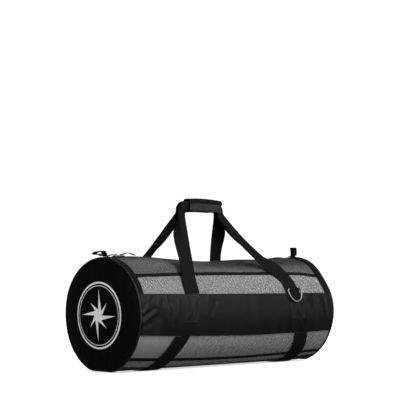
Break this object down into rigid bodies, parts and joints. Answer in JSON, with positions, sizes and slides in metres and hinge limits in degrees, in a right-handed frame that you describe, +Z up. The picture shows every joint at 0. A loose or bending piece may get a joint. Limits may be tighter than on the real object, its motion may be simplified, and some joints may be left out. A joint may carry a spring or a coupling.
{
  "type": "mesh duffel bag",
  "caption": "Barrel-shaped net duffel bag with nylon side bands and end caps, a zip along the top, webbing handles joined by a padded grip, and D-rings.",
  "frame": {"origin": "on the floor under the middle of the bag's bounding box", "axes": "+X along the bag from its printed near end to its far end, -Y towards its front, where the D-ring of the picture is, +Z up"},
  "size_m": [0.7828, 0.3218, 0.4638],
  "materials": {
    "net": "grey open-weave net",
    "band": "black coated nylon, satin",
    "base": "black coated nylon",
    "cap": null,
    "binding": "black grosgrain",
    "end_tape": "black woven tape",
    "piping": "black covered piping",
    "zip_tape": "black woven zip tape",
    "zip_chain": "black coil",
    "slider": "black enamel",
    "pull": "black ribbon",
    "webbing": "black woven webbing",
    "grip": "dark grey padded cloth",
    "grip_flap": "black cloth",
    "ring": "nickel-plated steel wire"
  },
  "bodies": {
    "bag": {"mesh_top_front": "net", "mesh_top_rear": "net", "mesh_shoulder_front": "net", "mesh_shoulder_rear": "net", "mesh_belly_front": "net", "mesh_belly_rear": "net", "mesh_base_front": "net", "mesh_base_rear": "net", "side_band_front": "band", "side_band_rear": "band", "base_panel": "base", "end_cap_near": "cap", "end_cap_far": "cap", "binding_upper_front": "binding", "binding_upper_rear": "binding", "binding_lower_front": "binding", "binding_lower_rear": "binding", "end_tape_near": "end_tape", "end_tape_far": "end_tape", "piping_near": "piping", "piping_far": "piping", "zip_tape_front": "zip_tape", "zip_tape_rear": "zip_tape", "zip_chain": "zip_chain", "zip_slider_near": "slider", "zip_slider_far": "slider", "zip_pull_near": "pull", "zip_pull_far": "pull", "handle_front": "webbing", "handle_rear": "webbing", "base_strap_near": "webbing", "base_strap_far": "webbing", "ring_tab_front": "webbing", "ring_tab_rear": "webbing", "end_tab_near": "webbing", "end_tab_far": "webbing", "grip_wrap": "grip", "grip_flap": "grip_flap"},
    "ring_front": {"d_ring_front": "ring"},
    "ring_rear": {"d_ring_rear": "ring"}
  },
  "joints": [
    {"name": "ring_front_swing", "type": "hinge", "parent": "bag", "child": "ring_front", "pos_m": [0.21843, -0.14767, 0.21249], "axis": [-1, 0, 0], "range_deg": [0, 160]},
    {"name": "ring_rear_swing", "type": "hinge", "parent": "bag", "child": "ring_rear", "pos_m": [-0.17758, 0.1477, 0.21249], "axis": [1, 0, 0], "range_deg": [0, 160]}
  ]
}
